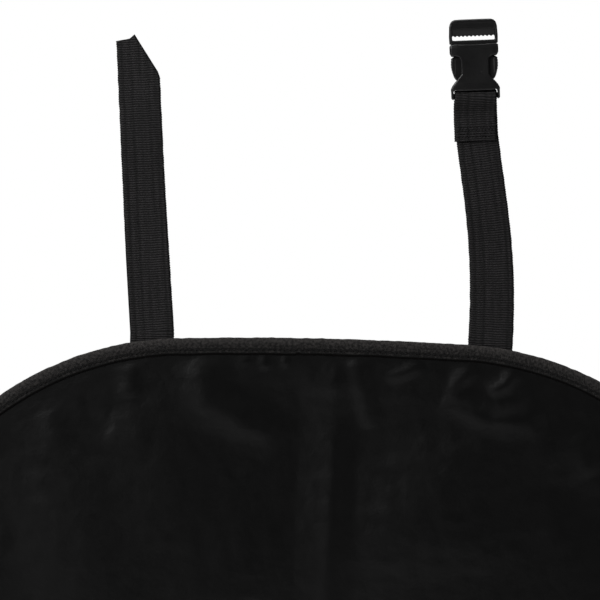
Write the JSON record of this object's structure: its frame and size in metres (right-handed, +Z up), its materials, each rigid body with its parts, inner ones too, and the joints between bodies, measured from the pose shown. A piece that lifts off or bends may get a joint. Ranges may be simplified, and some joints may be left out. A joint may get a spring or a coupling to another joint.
{
  "type": "apron",
  "caption": "Artist's apron: bound cloth panel with rounded shoulders and patch pockets, webbing neck and waist straps with side-release buckles.",
  "frame": {"origin": "under the middle of the hem, at the middle of the apron's depth, with the apron upright and spread flat", "axes": "+Z up from hem to neck, +X to the right as seen from the front, +Y to the back, so the outside of the apron faces -Y"},
  "size_m": [0.98, 0.009, 0.9062],
  "materials": {
    "nylon_cloth": "satin coated nylon",
    "binding_tape": "ribbed woven tape",
    "webbing": "ribbed woven webbing",
    "thread": "polyester sewing thread",
    "moulded_plastic": "fine satin moulding"
  },
  "bodies": {
    "left_half": {"panel_left": "nylon_cloth", "edge_binding_left": "binding_tape", "binding_seam_left": "thread", "pocket_left": "nylon_cloth", "pocket_binding_left": "binding_tape", "neck_tab_left": "webbing", "neck_tab_stitch_left": "thread", "waist_tab_left": "webbing", "waist_tab_stitch_left": "thread"},
    "right_half": {"panel_right": "nylon_cloth", "edge_binding_right": "binding_tape", "binding_seam_right": "thread", "pocket_right": "nylon_cloth", "pocket_binding_right": "binding_tape", "neck_tab_right": "webbing", "neck_tab_stitch_right": "thread", "waist_tab_right": "webbing", "waist_tab_stitch_right": "thread"},
    "neck_strap_left": {"neck_strap_left": "webbing"},
    "neck_strap_right": {"neck_strap_right": "webbing", "neck_loop_stitch": "thread"},
    "neck_socket": {"neck_buckle_socket": "moulded_plastic"},
    "neck_plug": {"neck_buckle_plug": "moulded_plastic"},
    "neck_prong_left": {"neck_buckle_prong_left": "moulded_plastic"},
    "neck_prong_right": {"neck_buckle_prong_right": "moulded_plastic"},
    "waist_strap_left": {"waist_strap_left": "webbing"},
    "waist_strap_right": {"waist_strap_right": "webbing", "waist_loop_stitch": "thread"},
    "waist_socket": {"waist_buckle_socket": "moulded_plastic"},
    "waist_plug": {"waist_buckle_plug": "moulded_plastic"},
    "waist_prong_upper": {"waist_buckle_prong_upper": "moulded_plastic"},
    "waist_prong_lower": {"waist_buckle_prong_lower": "moulded_plastic"}
  },
  "joints": [
    {"name": "centre_fold", "type": "hinge", "parent": "left_half", "child": "right_half", "pos_m": [0, -0.0026, 0.36], "axis": [0, 0, -1], "range_deg": [0, 170]},
    {"name": "neck_strap_left_swing", "type": "hinge", "parent": "left_half", "child": "neck_strap_left", "pos_m": [-0.0991, 0.0027, 0.72123], "axis": [-1, 0, 0], "range_deg": [-115, 145]},
    {"name": "neck_strap_right_swing", "type": "hinge", "parent": "right_half", "child": "neck_strap_right", "pos_m": [0.0959, 0.0027, 0.72123], "axis": [-1, 0, 0], "range_deg": [-115, 145]},
    {"name": "waist_strap_left_swing", "type": "hinge", "parent": "left_half", "child": "waist_strap_left", "pos_m": [-0.27534, 0.0027, 0.43], "axis": [0, 0, -1], "range_deg": [-115, 145]},
    {"name": "waist_strap_right_swing", "type": "hinge", "parent": "right_half", "child": "waist_strap_right", "pos_m": [0.27534, 0.0027, 0.43], "axis": [0, 0, 1], "range_deg": [-115, 145]},
    {"name": "neck_buckle_swivel", "type": "hinge", "parent": "neck_strap_right", "child": "neck_socket", "pos_m": [0.0839, 0.0002, 0.8616], "axis": [-0.998, 0, -0.0628], "range_deg": [-75, 75]},
    {"name": "neck_plug_slide", "type": "slide", "parent": "neck_socket", "child": "neck_plug", "axis": [-0.0628, 0, 0.998], "range_m": [0, 0.03], "deforming": ["neck_buckle_prong_left", "neck_buckle_prong_right"]},
    {"name": "neck_prong_left_press", "type": "hinge", "parent": "neck_plug", "child": "neck_prong_left", "pos_m": [0.07243, 0.0002, 0.89094], "axis": [0, -1, 0], "range_deg": [0, 9]},
    {"name": "neck_prong_right_press", "type": "hinge", "parent": "neck_plug", "child": "neck_prong_right", "pos_m": [0.0916, 0.0002, 0.89214], "axis": [0, 1, 0], "range_deg": [0, 9]},
    {"name": "waist_buckle_swivel", "type": "hinge", "parent": "waist_strap_right", "child": "waist_socket", "pos_m": [0.446, 0.0002, 0.418], "axis": [0, 0, 1], "range_deg": [-75, 75]},
    {"name": "waist_plug_slide", "type": "slide", "parent": "waist_socket", "child": "waist_plug", "axis": [1, 0, 0], "range_m": [0, 0.03], "deforming": ["waist_buckle_prong_upper", "waist_buckle_prong_lower"]},
    {"name": "waist_prong_upper_press", "type": "hinge", "parent": "waist_plug", "child": "waist_prong_upper", "pos_m": [0.476, 0.0002, 0.4276], "axis": [0, -1, 0], "range_deg": [0, 9]},
    {"name": "waist_prong_lower_press", "type": "hinge", "parent": "waist_plug", "child": "waist_prong_lower", "pos_m": [0.476, 0.0002, 0.4084], "axis": [0, 1, 0], "range_deg": [0, 9]}
  ]
}
